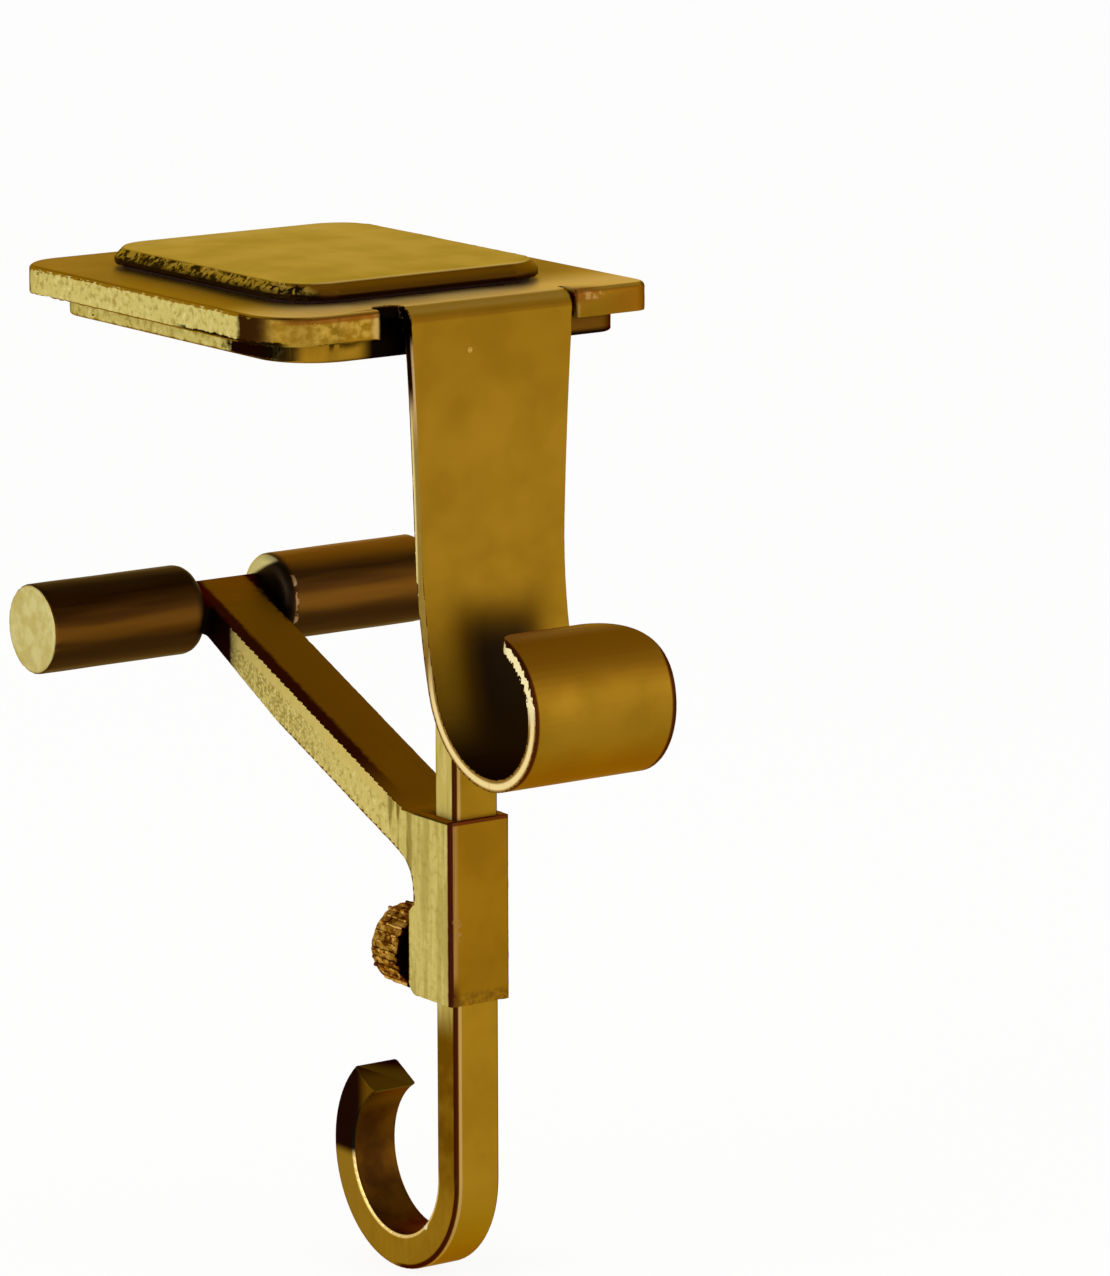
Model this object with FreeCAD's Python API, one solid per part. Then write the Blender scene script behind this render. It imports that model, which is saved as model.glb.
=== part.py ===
import FreeCAD, Part
import math
import os

# Mantel stocking holder: a plate that stands on the mantel, a strap with an open curl in front of it,
# a hook bar behind the strap, and a sliding clamp that presses up from under the mantel.
# Millimetres. +X is to the right, +Y is back towards the wall, +Z is up.
# The origin lies under the plate's centre, on the under pad's bottom face, which stands on the mantel.

# Sheet that the plate, the strap and the curl are made from
sheet_thickness = 1.8

# Top plate
plate_width = 64.0
plate_depth = 71.0
plate_front_left_radius = 9.0
plate_front_right_radius = 3.0
plate_back_radius = 7.0
rim_height = 4.1
rim_edge_radius = 0.9

# Strap and curl
strap_offset = 4.0
strap_width = 24.2
strap_top_width = 28.0
flare_length = 52.0
bend_radius = 2.6
strap_straight = 32.3
lean_radius = 90.0
lean_angle = 14.7
curl_back_radius = 15.3
curl_front_radius = 11.3
curl_end_angle = 9.0
curl_left_corner_radius = 3.0
curl_right_corner_radius = 10.0

# Relief cuts beside the strap's bend
relief_depth = 4.0
left_relief_width = 5.0
right_relief_width = 0.8

# Under pad: its distances from the inside of the rim, its corners and how far it stands out
under_pad_left_gap = 2.9
under_pad_right_gap = 1.5
under_pad_front_gap = 1.6
under_pad_back_gap = 2.4
under_pad_front_left_radius = 9.0
under_pad_front_right_radius = 3.5
under_pad_back_radius = 6.0
under_pad_projection = 3.2
under_pad_edge_radius = 0.5

# Top pad, with its distances from the plate's edge, and the adhesive layer under it
top_pad_left_margin = 8.2
top_pad_right_margin = 10.2
top_pad_front_margin = 8.4
top_pad_back_margin = 9.6
top_pad_corner_radius = 8.0
top_pad_thickness = 2.2
top_pad_bevel = 1.3
tape_thickness = 0.7
tape_inset = 1.2

# Hook bar
bar_width = 7.5
bar_thickness = 5.2
bar_edge_radius = 0.5
bar_standoff = 2.7
bar_top_drop = 10.0
bar_weld_length = 11.0
bar_crank_length = 6.0
hook_centre_drop = 129.7
hook_outer_radius = 16.0
hook_past_level = 60.0
hook_tip_set_back = 11.0

# Clamp casting
collar_wall_side = 1.3
collar_wall_front = 0.8
collar_wall_back = 3.5
collar_height = 27.2
collar_top_drop = 75.7
collar_edge_radius = 0.6
screw_land_height = 13.5
screw_land_step = 1.3
collar_foot_radius = 2.0
arm_thickness = 6.3
arm_end_thickness = 4.7
arm_taper_length = 22.0
arm_slope = 23.2
arm_start_reach = 2.7
arm_root_radius = 6.0
cross_bar_depth = 6.6
cross_bar_reach = 70.5
cross_bar_half_width = 7.0
cross_bar_fillet = 1.8
stub_radius = 2.2
stub_length = 22.0

# Sleeves
sleeve_radius = 6.75
sleeve_length = 26.8
sleeve_inner_round = 1.8
sleeve_outer_round = 0.35

# Thumb screw
stud_radius = 2.0
knob_radius = 6.2
knob_thickness = 7.0
knob_gap = 1.4
knob_edge = 0.8
knob_flutes = 20
knob_flute_radius = 0.45
screw_height = 5.3

# Clearances between pieces that slide or turn
slide_clearance = 0.1
thread_clearance = 0.05
tip_clearance = 0.05

# Distance under which two edges count as being in the same place
same_place = 0.001

# Levels and planes that follow from the sizes above
plate_top = under_pad_projection + rim_height
strap_front = -plate_depth / 2
strap_back = strap_front + sheet_thickness
bar_front = strap_back + bar_standoff
bar_back = bar_front + bar_thickness
bar_left = strap_offset - bar_width / 2
hook_centre_y = bar_front + hook_outer_radius
hook_centre_z = plate_top - hook_centre_drop
collar_width = bar_width + 2 * (slide_clearance + collar_wall_side)
collar_front = bar_front - slide_clearance - collar_wall_front
collar_back = bar_back + slide_clearance + collar_wall_back
land_back = collar_back + screw_land_step
collar_top = plate_top - collar_top_drop
collar_bottom = collar_top - collar_height
screw_z = collar_bottom + screw_height
knob_front = land_back + knob_gap
cross_bar_y = strap_front + cross_bar_reach
cross_bar_z = (
    collar_top
    + math.tan(math.radians(arm_slope)) * (cross_bar_y - collar_back - arm_start_reach)
    - arm_end_thickness / (2 * math.cos(math.radians(arm_slope)))
)


def inside_plate(left, right, front, back):
    """Sides of a rectangle at four distances from the plate's edges: left, right, front, back."""
    return (
        left - plate_width / 2,
        plate_width / 2 - right,
        front - plate_depth / 2,
        plate_depth / 2 - back,
    )


def rounded_slab(sides, radii, thickness, bottom):
    """Flat slab with rounded corners. The radii are those of front left, front right and the back."""
    left, right, front, back = sides
    front_left_radius, front_right_radius, back_radius = radii
    slab = Part.makeBox(right - left, back - front, thickness, FreeCAD.Vector(left, front, bottom))
    for x, y, radius in (
        (left, front, front_left_radius),
        (right, front, front_right_radius),
        (left, back, back_radius),
        (right, back, back_radius),
    ):
        corner = [
            edge for edge in slab.Edges
            if edge.BoundBox.ZLength > thickness / 2
            and abs(edge.BoundBox.XMin - x) < same_place and abs(edge.BoundBox.XMax - x) < same_place
            and abs(edge.BoundBox.YMin - y) < same_place and abs(edge.BoundBox.YMax - y) < same_place
        ]
        slab = slab.makeFillet(radius, corner)
    return slab


def edges_at_level(shape, level):
    """Edges that lie flat at one height."""
    return [
        edge for edge in shape.Edges
        if abs(edge.BoundBox.ZMin - level) < same_place and abs(edge.BoundBox.ZMax - level) < same_place
    ]


def point(y, z):
    """Point in the side view, on the middle plane of the strap and the bar."""
    return FreeCAD.Vector(strap_offset, y, z)


def walk(place, move, share=1.0):
    """Place and heading after a share of one move along a bent strip's middle line.

    A move is (length,) for a straight or (radius, turn) for an arc that turns from +Y towards +Z.
    """
    y, z, angle = place
    if len(move) == 1:
        return (y + share * move[0] * math.cos(angle), z + share * move[0] * math.sin(angle), angle)
    radius, turn = move
    sign = math.copysign(1, turn)
    new_angle = angle + share * math.radians(turn)
    return (
        y + sign * radius * (math.sin(new_angle) - math.sin(angle)),
        z - sign * radius * (math.cos(new_angle) - math.cos(angle)),
        new_angle,
    )


def beside(place, offset):
    """Point at a distance to the left of the heading."""
    y, z, angle = place
    return point(y - offset * math.sin(angle), z + offset * math.cos(angle))


def strip_face(start, moves, thickness):
    """Side view of a bent strip."""
    edges = []
    place = start
    half = thickness / 2
    for move in moves:
        middle = walk(place, move, 0.5)
        end = walk(place, move)
        for offset in (half, -half):
            if len(move) == 1:
                curve = Part.LineSegment(beside(place, offset), beside(end, offset))
            else:
                curve = Part.Arc(beside(place, offset), beside(middle, offset), beside(end, offset))
            edges.append(curve.toShape())
        place = end
    for end in (start, place):
        edges.append(Part.LineSegment(beside(end, half), beside(end, -half)).toShape())
    return Part.Face(Part.Wire(Part.__sortEdges__(edges)))


def across(face, width):
    """Gives a side view its width, equally to both sides of the strap's middle plane."""
    face = face.copy()
    face.translate(FreeCAD.Vector(-width / 2, 0, 0))
    return face.extrude(FreeCAD.Vector(width, 0, 0))


def flare():
    """Room that the strap fills towards its bend: its edges spread there in a gentle curve."""
    flare_foot = plate_top - flare_length
    half_top = strap_top_width / 2
    half_foot = strap_width / 2
    middle = half_foot + (half_top - half_foot) / 4
    high = plate_top + sheet_thickness
    edges = []
    for side in (-1, 1):
        top = FreeCAD.Vector(strap_offset + side * half_top, 0, plate_top)
        foot = FreeCAD.Vector(strap_offset + side * half_foot, 0, flare_foot)
        half_way = FreeCAD.Vector(strap_offset + side * middle, 0, (plate_top + flare_foot) / 2)
        above = FreeCAD.Vector(top.x, 0, high)
        edges.append(Part.LineSegment(above, top).toShape())
        edges.append(Part.Arc(top, half_way, foot).toShape())
    for level, half_width in ((high, half_top), (flare_foot, half_foot)):
        left = FreeCAD.Vector(strap_offset - half_width, 0, level)
        right = FreeCAD.Vector(strap_offset + half_width, 0, level)
        edges.append(Part.LineSegment(left, right).toShape())
    face = Part.Face(Part.Wire(Part.__sortEdges__(edges)))
    face.translate(FreeCAD.Vector(0, strap_front - curl_back_radius / 2, 0))
    return face.extrude(FreeCAD.Vector(0, plate_depth, 0))


def pan():
    """Top plate with its rim turned down all round."""
    radii = (plate_front_left_radius, plate_front_right_radius, plate_back_radius)
    outer = rounded_slab(inside_plate(0, 0, 0, 0), radii, rim_height, plate_top - rim_height)
    outer = outer.makeFillet(rim_edge_radius, edges_at_level(outer, plate_top))
    inner = rounded_slab(
        inside_plate(sheet_thickness, sheet_thickness, sheet_thickness, sheet_thickness),
        [radius - sheet_thickness for radius in radii],
        rim_height - sheet_thickness,
        plate_top - rim_height,
    )
    return outer.cut(inner)


def relief(side, width):
    """Round-ended cut through the plate and its rim, beside the strap's bend."""
    edge = strap_offset + side * strap_top_width / 2
    centre_x = edge + side * width / 2
    end_radius = width / 2
    depth = relief_depth - end_radius
    slot = Part.makeBox(
        width, depth + sheet_thickness, 3 * rim_height,
        FreeCAD.Vector(centre_x - width / 2, strap_front - sheet_thickness, plate_top - 2 * rim_height),
    )
    end = Part.makeCylinder(
        end_radius, 3 * rim_height,
        FreeCAD.Vector(centre_x, strap_front + depth, plate_top - 2 * rim_height),
    )
    return slot.fuse(end)


def end_waste(side, radius, tip):
    """What rounding takes off one corner of the strap's free end."""
    y, z, heading = tip
    edge_x = side * strap_width / 2
    centre_x = edge_x - side * radius
    square = Part.makeBox(
        radius, radius, 2 * curl_front_radius,
        FreeCAD.Vector(min(edge_x, centre_x), -radius, -curl_front_radius),
    )
    round_part = Part.makeCylinder(
        radius, 2 * curl_front_radius, FreeCAD.Vector(centre_x, -radius, -curl_front_radius)
    )
    waste = square.cut(round_part)
    waste.rotate(FreeCAD.Vector(0, 0, 0), FreeCAD.Vector(1, 0, 0), math.degrees(heading))
    waste.translate(point(y, z))
    return waste


def hanger():
    """Plate, strap and curl from one sheet."""
    half = sheet_thickness / 2
    start = (strap_front + relief_depth, plate_top - half, math.pi)
    moves = [
        (relief_depth - bend_radius,),
        (bend_radius - half, 90),
        (strap_straight - bend_radius,),
        (lean_radius - half, -lean_angle),
        (curl_back_radius - half, lean_angle - 90),
        (curl_front_radius - half, curl_end_angle - 180),
    ]
    strip = strip_face(start, moves, sheet_thickness)
    strap = across(strip, strap_width)
    tip = start
    for move in moves:
        tip = walk(tip, move)
    for side, radius in ((-1, curl_left_corner_radius), (1, curl_right_corner_radius)):
        strap = strap.cut(end_waste(side, radius, tip))
    strap = strap.fuse(across(strip, plate_width).common(flare()))
    plate = pan()
    for side, width in ((-1, left_relief_width), (1, right_relief_width)):
        plate = plate.cut(relief(side, width))
    bend_room = Part.makeBox(
        strap_top_width, relief_depth + sheet_thickness, 3 * rim_height,
        FreeCAD.Vector(
            strap_offset - strap_top_width / 2, strap_front - sheet_thickness, plate_top - 2 * rim_height
        ),
    )
    return plate.cut(bend_room).fuse(strap).removeSplitter()


def under_pad():
    """Rubber pad glued under the plate, inside the rim."""
    thickness = under_pad_projection + rim_height - sheet_thickness
    sides = inside_plate(
        sheet_thickness + under_pad_left_gap,
        sheet_thickness + under_pad_right_gap,
        sheet_thickness + under_pad_front_gap,
        sheet_thickness + under_pad_back_gap,
    )
    radii = (under_pad_front_left_radius, under_pad_front_right_radius, under_pad_back_radius)
    pad = rounded_slab(sides, radii, thickness, 0)
    return pad.makeFillet(under_pad_edge_radius, edges_at_level(pad, 0))


def above_plate(inset, thickness, bottom):
    """Slab over the plate, with its edge set in from the top pad's edge."""
    sides = inside_plate(
        top_pad_left_margin + inset,
        top_pad_right_margin + inset,
        top_pad_front_margin + inset,
        top_pad_back_margin + inset,
    )
    return rounded_slab(sides, 3 * [top_pad_corner_radius - inset], thickness, bottom)


def top_pad():
    """Bevelled pad on top of the plate, held by the adhesive layer."""
    bottom = plate_top + tape_thickness
    pad = above_plate(0, top_pad_thickness, bottom)
    return pad.makeChamfer(top_pad_bevel, edges_at_level(pad, bottom + top_pad_thickness))


def pad_tape():
    """Adhesive layer, set in from the top pad's edge."""
    return above_plate(tape_inset, tape_thickness, plate_top)


def hook_bar():
    """Flat bar: welded to the strap's back at its top, cranked clear of it, hooked at its foot."""
    half = bar_thickness / 2
    crank_angle = 2 * math.atan2(bar_standoff, bar_crank_length)
    crank_radius = bar_crank_length / (2 * math.sin(crank_angle))
    crank_turn = math.degrees(crank_angle)
    straight = hook_centre_drop - bar_top_drop - bar_weld_length - bar_crank_length
    strip = strip_face(
        (strap_back + half, plate_top - bar_top_drop, 3 * math.pi / 2),
        [
            (bar_weld_length,),
            (crank_radius, crank_turn),
            (crank_radius, -crank_turn),
            (straight,),
            (hook_outer_radius - half, 180 + hook_past_level),
        ],
        bar_thickness,
    )
    bar = across(strip, bar_width).cut(across(tip_waste(), 2 * bar_width))
    return bar.makeFillet(bar_edge_radius, long_edges(bar))


def long_edges(bar):
    """Edges that run along the bar's straight below the crank and on round the hook."""
    crank_foot = plate_top - bar_top_drop - bar_weld_length - bar_crank_length
    return [
        edge for edge in bar.Edges
        if edge.BoundBox.XLength < same_place and edge.BoundBox.ZMax < crank_foot + same_place
        and edge.Length > bar_thickness + bar_width
    ]


def tip_waste():
    """Side view of what the slanting cut takes off the hook's tip."""
    inner_radius = hook_outer_radius - bar_thickness
    places = (
        (inner_radius, hook_past_level),
        (hook_outer_radius, hook_past_level - hook_tip_set_back),
        (2 * hook_outer_radius, hook_past_level - hook_tip_set_back),
        (2 * hook_outer_radius, hook_past_level + hook_tip_set_back),
    )
    corners = [
        point(
            hook_centre_y + radius * math.cos(math.radians(angle)),
            hook_centre_z + radius * math.sin(math.radians(angle)),
        )
        for radius, angle in places
    ]
    return Part.Face(Part.makePolygon(corners + corners[:1]))


def arm_place(y, depth):
    """Point in the arm's side view: below the upper face's level at y, at a depth square to that face."""
    slope = math.radians(arm_slope)
    level = collar_top + math.tan(slope) * (y - collar_back - arm_start_reach)
    return y + depth * math.sin(slope), level - depth * math.cos(slope)


def collar_and_arm():
    """Collar, arm and land for the screw, from one side view."""
    slope = math.radians(arm_slope)
    end_y = cross_bar_y - arm_end_thickness / 2 * math.sin(slope) + cross_bar_depth / 2 * math.cos(slope)
    neck_y = end_y - cross_bar_depth * math.cos(slope)
    taper_y = neck_y - arm_taper_length * math.cos(slope)
    root_y = collar_back - arm_thickness * math.sin(slope)
    root_z = arm_place(root_y, arm_thickness)[1]
    land_top = collar_bottom + screw_land_height
    corners = [
        (collar_front, collar_bottom),
        (collar_front, collar_top),
        (collar_back + arm_start_reach, collar_top),
        arm_place(end_y, 0),
        arm_place(end_y, arm_end_thickness),
        arm_place(neck_y, arm_end_thickness),
        arm_place(taper_y, arm_thickness),
        (collar_back, root_z),
        (collar_back, land_top),
        (land_back, land_top - screw_land_step),
        (land_back, collar_bottom),
    ]
    outline = Part.makePolygon([point(y, z) for y, z in corners + corners[:1]])
    body = across(Part.Face(outline), collar_width)
    body = body.makeFillet(arm_root_radius, cross_edges(body, collar_back, root_z))
    body = body.makeFillet(collar_foot_radius, cross_edges(body, land_back, collar_bottom))
    front_edges = [
        edge for edge in body.Edges
        if abs(edge.BoundBox.YMax - collar_front) < same_place and edge.BoundBox.XLength < same_place
    ]
    return body.makeFillet(collar_edge_radius, front_edges)


def cross_edges(body, y, z):
    """Edges of the casting that run straight across it through one point of the side view."""
    return [
        edge for edge in body.Edges
        if edge.BoundBox.XLength > collar_width / 2
        and abs(edge.BoundBox.YMin - y) < same_place and abs(edge.BoundBox.YMax - y) < same_place
        and abs(edge.BoundBox.ZMin - z) < same_place and abs(edge.BoundBox.ZMax - z) < same_place
    ]


def inner_corner(side):
    """Concave corner between the arm's side and the neck's front, before the neck is tilted."""
    radius = min(cross_bar_fillet, cross_bar_half_width - collar_width / 2)
    near_x = side * collar_width / 2
    far_x = near_x + side * radius
    front_y = -cross_bar_depth / 2 - radius
    bottom = -arm_end_thickness / 2
    square = Part.makeBox(
        radius, radius, arm_end_thickness, FreeCAD.Vector(min(near_x, far_x), front_y, bottom)
    )
    return square.cut(
        Part.makeCylinder(radius, arm_end_thickness, FreeCAD.Vector(far_x, front_y, bottom))
    )


def cross_bar():
    """Neck between the sleeves, and the round stub inside each sleeve."""
    neck = Part.makeBox(
        2 * cross_bar_half_width, cross_bar_depth, arm_end_thickness,
        FreeCAD.Vector(-cross_bar_half_width, -cross_bar_depth / 2, -arm_end_thickness / 2),
    )
    for side in (-1, 1):
        neck = neck.fuse(inner_corner(side))
    neck.rotate(FreeCAD.Vector(0, 0, 0), FreeCAD.Vector(1, 0, 0), arm_slope)
    reach = cross_bar_half_width + stub_length
    stubs = Part.makeCylinder(
        stub_radius, 2 * reach, FreeCAD.Vector(-reach, 0, 0), FreeCAD.Vector(1, 0, 0)
    )
    bar = neck.fuse(stubs)
    bar.translate(FreeCAD.Vector(strap_offset, cross_bar_y, cross_bar_z))
    return bar


def clamp_casting():
    """Collar round the bar, arm and cross bar, with the bar's slot and the screw's hole."""
    slot = Part.makeBox(
        bar_width + 2 * slide_clearance,
        bar_thickness + 2 * slide_clearance,
        3 * collar_height,
        FreeCAD.Vector(
            bar_left - slide_clearance, bar_front - slide_clearance, collar_bottom - collar_height
        ),
    )
    hole = Part.makeCylinder(
        stud_radius + thread_clearance, 2 * (land_back - bar_back),
        FreeCAD.Vector(strap_offset, bar_back, screw_z), FreeCAD.Vector(0, 1, 0),
    )
    return collar_and_arm().fuse(cross_bar()).removeSplitter().cut(slot).cut(hole)


def sleeve(side):
    """Rubber sleeve, closed at its outer end and pushed on a stub of the cross bar."""
    inner_x = strap_offset + side * cross_bar_half_width
    outer_x = inner_x + side * sleeve_length
    along = FreeCAD.Vector(side, 0, 0)
    start = FreeCAD.Vector(inner_x, cross_bar_y, cross_bar_z)
    body = Part.makeCylinder(sleeve_radius, sleeve_length, start, along)
    for end_x, radius in ((inner_x, sleeve_inner_round), (outer_x, sleeve_outer_round)):
        rim = [
            edge for edge in body.Edges
            if abs(edge.BoundBox.XMin - end_x) < same_place and abs(edge.BoundBox.XMax - end_x) < same_place
        ]
        body = body.makeFillet(radius, rim)
    return body.cut(Part.makeCylinder(stub_radius, stub_length, start, along))


def thumb_screw():
    """Stud that presses on the bar's back, with a fluted knob behind the collar."""
    back = FreeCAD.Vector(0, 1, 0)
    tip = bar_back + tip_clearance
    stud_length = knob_front - tip + knob_thickness / 2
    stud = Part.makeCylinder(stud_radius, stud_length, FreeCAD.Vector(strap_offset, tip, screw_z), back)
    knob = Part.makeCylinder(
        knob_radius, knob_thickness, FreeCAD.Vector(strap_offset, knob_front, screw_z), back
    )
    rims = [edge for edge in knob.Edges if edge.BoundBox.YLength < same_place]
    knob = knob.makeChamfer(knob_edge, rims)
    for number in range(knob_flutes):
        angle = 2 * math.pi * number / knob_flutes
        flute = Part.makeCylinder(
            knob_flute_radius, 2 * knob_thickness,
            FreeCAD.Vector(
                strap_offset + knob_radius * math.cos(angle),
                knob_front - knob_thickness / 2,
                screw_z + knob_radius * math.sin(angle),
            ),
            back,
        )
        knob = knob.cut(flute)
    return knob.fuse(stud).removeSplitter()


def main():
    os.makedirs("parts", exist_ok=True)
    nodes = {
        "hanger": hanger(),
        "top_pad": top_pad(),
        "pad_tape": pad_tape(),
        "under_pad": under_pad(),
        "hook_bar": hook_bar(),
        "clamp_casting": clamp_casting(),
        "left_sleeve": sleeve(-1),
        "right_sleeve": sleeve(1),
        "thumb_screw": thumb_screw(),
    }
    for name, shape in nodes.items():
        shape.exportStep("parts/" + name + ".step")
        print(name, shape.isValid(), len(shape.Solids), round(shape.Volume, 1))


main()
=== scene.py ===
import math

import bmesh
import bpy
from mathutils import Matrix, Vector, noise


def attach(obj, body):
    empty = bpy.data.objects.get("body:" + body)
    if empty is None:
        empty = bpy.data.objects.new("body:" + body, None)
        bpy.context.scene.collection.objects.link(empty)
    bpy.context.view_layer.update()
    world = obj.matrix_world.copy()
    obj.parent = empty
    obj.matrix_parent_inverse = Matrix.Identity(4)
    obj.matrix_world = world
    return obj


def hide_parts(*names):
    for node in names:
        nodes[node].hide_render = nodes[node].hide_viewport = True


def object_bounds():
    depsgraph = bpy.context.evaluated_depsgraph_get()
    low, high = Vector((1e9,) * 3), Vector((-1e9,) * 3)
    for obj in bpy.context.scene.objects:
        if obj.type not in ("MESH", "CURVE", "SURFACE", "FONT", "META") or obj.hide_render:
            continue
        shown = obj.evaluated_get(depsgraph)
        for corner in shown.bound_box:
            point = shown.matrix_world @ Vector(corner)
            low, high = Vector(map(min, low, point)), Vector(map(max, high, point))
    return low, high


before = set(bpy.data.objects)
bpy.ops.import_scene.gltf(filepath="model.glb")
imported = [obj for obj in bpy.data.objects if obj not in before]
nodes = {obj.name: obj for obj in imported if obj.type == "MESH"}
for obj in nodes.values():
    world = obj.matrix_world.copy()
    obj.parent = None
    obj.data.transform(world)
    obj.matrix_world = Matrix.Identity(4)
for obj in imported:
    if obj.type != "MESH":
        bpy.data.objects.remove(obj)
cad_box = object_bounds()
MM = 0.001

# The room: a pale paper floor just under the hook, and a white surround that darkens overhead. Large
# soft boxes stand at the left and the front, so flat faces read clean and bends roll off.
FLOOR_GAP = 0.4 * MM
FLOOR_REACH = 6.0
FLOOR_WHITE = "#F4F3F0"
FLOOR_GLOW = 1.05
FLOOR_GLOW_SHARE = 0.85
SKY_FADE = {"From Min": 0.25, "From Max": 0.75, "To Min": 1.05, "To Max": 0.45}
LIT_POINT = (0.0, -0.015, -0.06)


def linear(code):
    """An sRGB hex colour as linear red, green, blue and alpha."""
    parts = [int(code[i:i + 2], 16) / 255 for i in (1, 3, 5)]
    return [c / 12.92 if c <= 0.04045 else ((c + 0.055) / 1.055) ** 2.4 for c in parts] + [1.0]


def add(tree, kind, inputs=None, **settings):
    """Adds a node with its settings. Each input is named or numbered, and takes a link or a value."""
    node = tree.nodes.new(kind)
    for name, value in settings.items():
        setattr(node, name, value)
    for name, value in (inputs or {}).items():
        if isinstance(value, bpy.types.NodeSocket):
            tree.links.new(value, node.inputs[name])
        else:
            node.inputs[name].default_value = value
    return node


def new_material(name):
    """A material with an empty node tree."""
    made = bpy.data.materials.new(name)
    made.use_nodes = True
    made.node_tree.nodes.clear()
    return made


# Matte white paper: scatters all light, so the hanging hook leaves only a faint shadow on it. Where it
# is seen, also in a reflection, it glows as well, so that it stays as white as the photo's ground.
paper = new_material("matte_white_paper")
tree = paper.node_tree
rays = add(tree, "ShaderNodeLightPath")
seen = add(tree, "ShaderNodeMath",
           {0: rays.outputs["Is Camera Ray"], 1: rays.outputs["Is Glossy Ray"]}, operation="MAXIMUM")
seen = add(tree, "ShaderNodeMath",
           {0: seen.outputs[0], 1: rays.outputs["Is Transmission Ray"]}, operation="MAXIMUM")
share = add(tree, "ShaderNodeMath", {0: seen.outputs[0], 1: FLOOR_GLOW_SHARE},
            operation="MULTIPLY")
matte = add(tree, "ShaderNodeBsdfDiffuse", {"Color": linear(FLOOR_WHITE)})
white = add(tree, "ShaderNodeEmission", {"Color": linear("#FFFFFF"), "Strength": FLOOR_GLOW})
both = add(tree, "ShaderNodeMixShader", {0: share.outputs[0], 1: matte.outputs[0], 2: white.outputs[0]})
add(tree, "ShaderNodeOutputMaterial", {"Surface": both.outputs[0]})

floor_level = cad_box[0][2] - FLOOR_GAP
floor_corners = [(-1, -1), (1, -1), (1, 1), (-1, 1)]
floor_mesh = bpy.data.meshes.new("floor")
floor_mesh.from_pydata(
    [(x * FLOOR_REACH, y * FLOOR_REACH, floor_level) for x, y in floor_corners], [], [(0, 1, 2, 3)])
floor_mesh.materials.append(paper)
floor = bpy.data.objects.new("floor", floor_mesh)
bpy.context.scene.collection.objects.link(floor)

world = bpy.data.worlds.new("studio")
bpy.context.scene.world = world
world.use_nodes = True
tree = world.node_tree
tree.nodes.clear()
direction = add(tree, "ShaderNodeTexCoord")
height = add(tree, "ShaderNodeSeparateXYZ", {0: direction.outputs["Generated"]})
fade = add(tree, "ShaderNodeMapRange", {"Value": height.outputs["Z"], **SKY_FADE},
           interpolation_type="SMOOTHSTEP")
sky = add(tree, "ShaderNodeBackground", {"Color": linear("#FFFFFF"), "Strength": fade.outputs[0]})
add(tree, "ShaderNodeOutputWorld", {"Surface": sky.outputs[0]})


def soft_box(name, place, size, power):
    """An area lamp turned towards the middle of the holder."""
    lamp = bpy.data.lights.new(name, "AREA")
    lamp.shape = "RECTANGLE"
    lamp.size, lamp.size_y = size
    lamp.energy = power
    made = bpy.data.objects.new(name, lamp)
    made.location = place
    made.rotation_euler = (Vector(LIT_POINT) - Vector(place)).to_track_quat("-Z", "Y").to_euler()
    bpy.context.scene.collection.objects.link(made)


soft_box("left_box", (-1.25, 0.0, 0.2), (0.9, 0.9), 8.0)
soft_box("front_box", (0.5, -1.2, 0.3), (1.2, 0.9), 3.0)

# The camera stands low at the front left. Its lens is long, so the upright edges stay parallel.
CAMERA_PLACE = (-0.55382, -0.83332, 0.15664)
CAMERA_YAW = 35.5
CAMERA_PITCH = 11.5
CAMERA_ROLL = 0.15
FOCAL_PIXELS = 7000.0
IMAGE_HEIGHT_PIXELS = 1276.0
SENSOR = 36.0

camera_data = bpy.data.cameras.new("camera")
camera_data.sensor_fit = "VERTICAL"
camera_data.sensor_height = SENSOR
camera_data.sensor_width = SENSOR
camera_data.lens = FOCAL_PIXELS / IMAGE_HEIGHT_PIXELS * SENSOR
camera_data.clip_start = 0.05
camera_data.clip_end = 20.0
camera = bpy.data.objects.new("camera", camera_data)
camera.location = CAMERA_PLACE
camera.rotation_euler = (
    math.radians(90.0 - CAMERA_PITCH), math.radians(CAMERA_ROLL), math.radians(-CAMERA_YAW))
bpy.context.scene.collection.objects.link(camera)
bpy.context.scene.camera = camera
bpy.context.scene.view_settings.view_transform = "Standard"

# Sheet hanger: plate with a turned-down rim, strap and open curl, all pressed from one steel sheet
# and plated in antique gold. Its sheared edges are rough and pale; faces are smooth and brown-gold.
STRAP_MIDDLE = 4.0 * MM
CURL_CENTRE = (STRAP_MIDDLE, -51.45 * MM, -46.0 * MM)
BELT_LEVEL = -48.0 * MM
# Each arc of the curl's rim: its centre, its outer radius and the stretch of Y where it takes over.
FRONT_ARC = ((STRAP_MIDDLE, -51.45 * MM, -47.96 * MM), 11.3 * MM, -51.2 * MM, -51.7 * MM)
BACK_ARC = ((STRAP_MIDDLE, -51.45 * MM, -43.96 * MM), 15.3 * MM, -51.7 * MM, -51.2 * MM)
ROUGH_CELL = 0.5 * MM
ROUGH_GRAIN = 1.1 * MM
ROUGH_FRACTAL = (0.8, 2.0, 3)
CHIP_GRAIN = 1.5 * MM
SERRATION = 0.14 * MM
SAME_SPOT = 0.002 * MM
SHARP_ANGLE = math.radians(38)
ACROSS_X = (0.0, 1.0, 1.0)
GOLD_SHEEN = "#D4A630"
# Black painted shade, for cuts and gaps that light doesn't reach.
BLACK_SHADE = linear("#0C0602")
WELD_NIB = (0.12 * MM, -35.5 * MM, 0.36 * MM)


def crumbled(amount):
    """Chips of up to this depth, scattered along an edge."""
    return lambda spot: amount * max(0.0, noise.noise(spot / CHIP_GRAIN) + 0.1)


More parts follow.
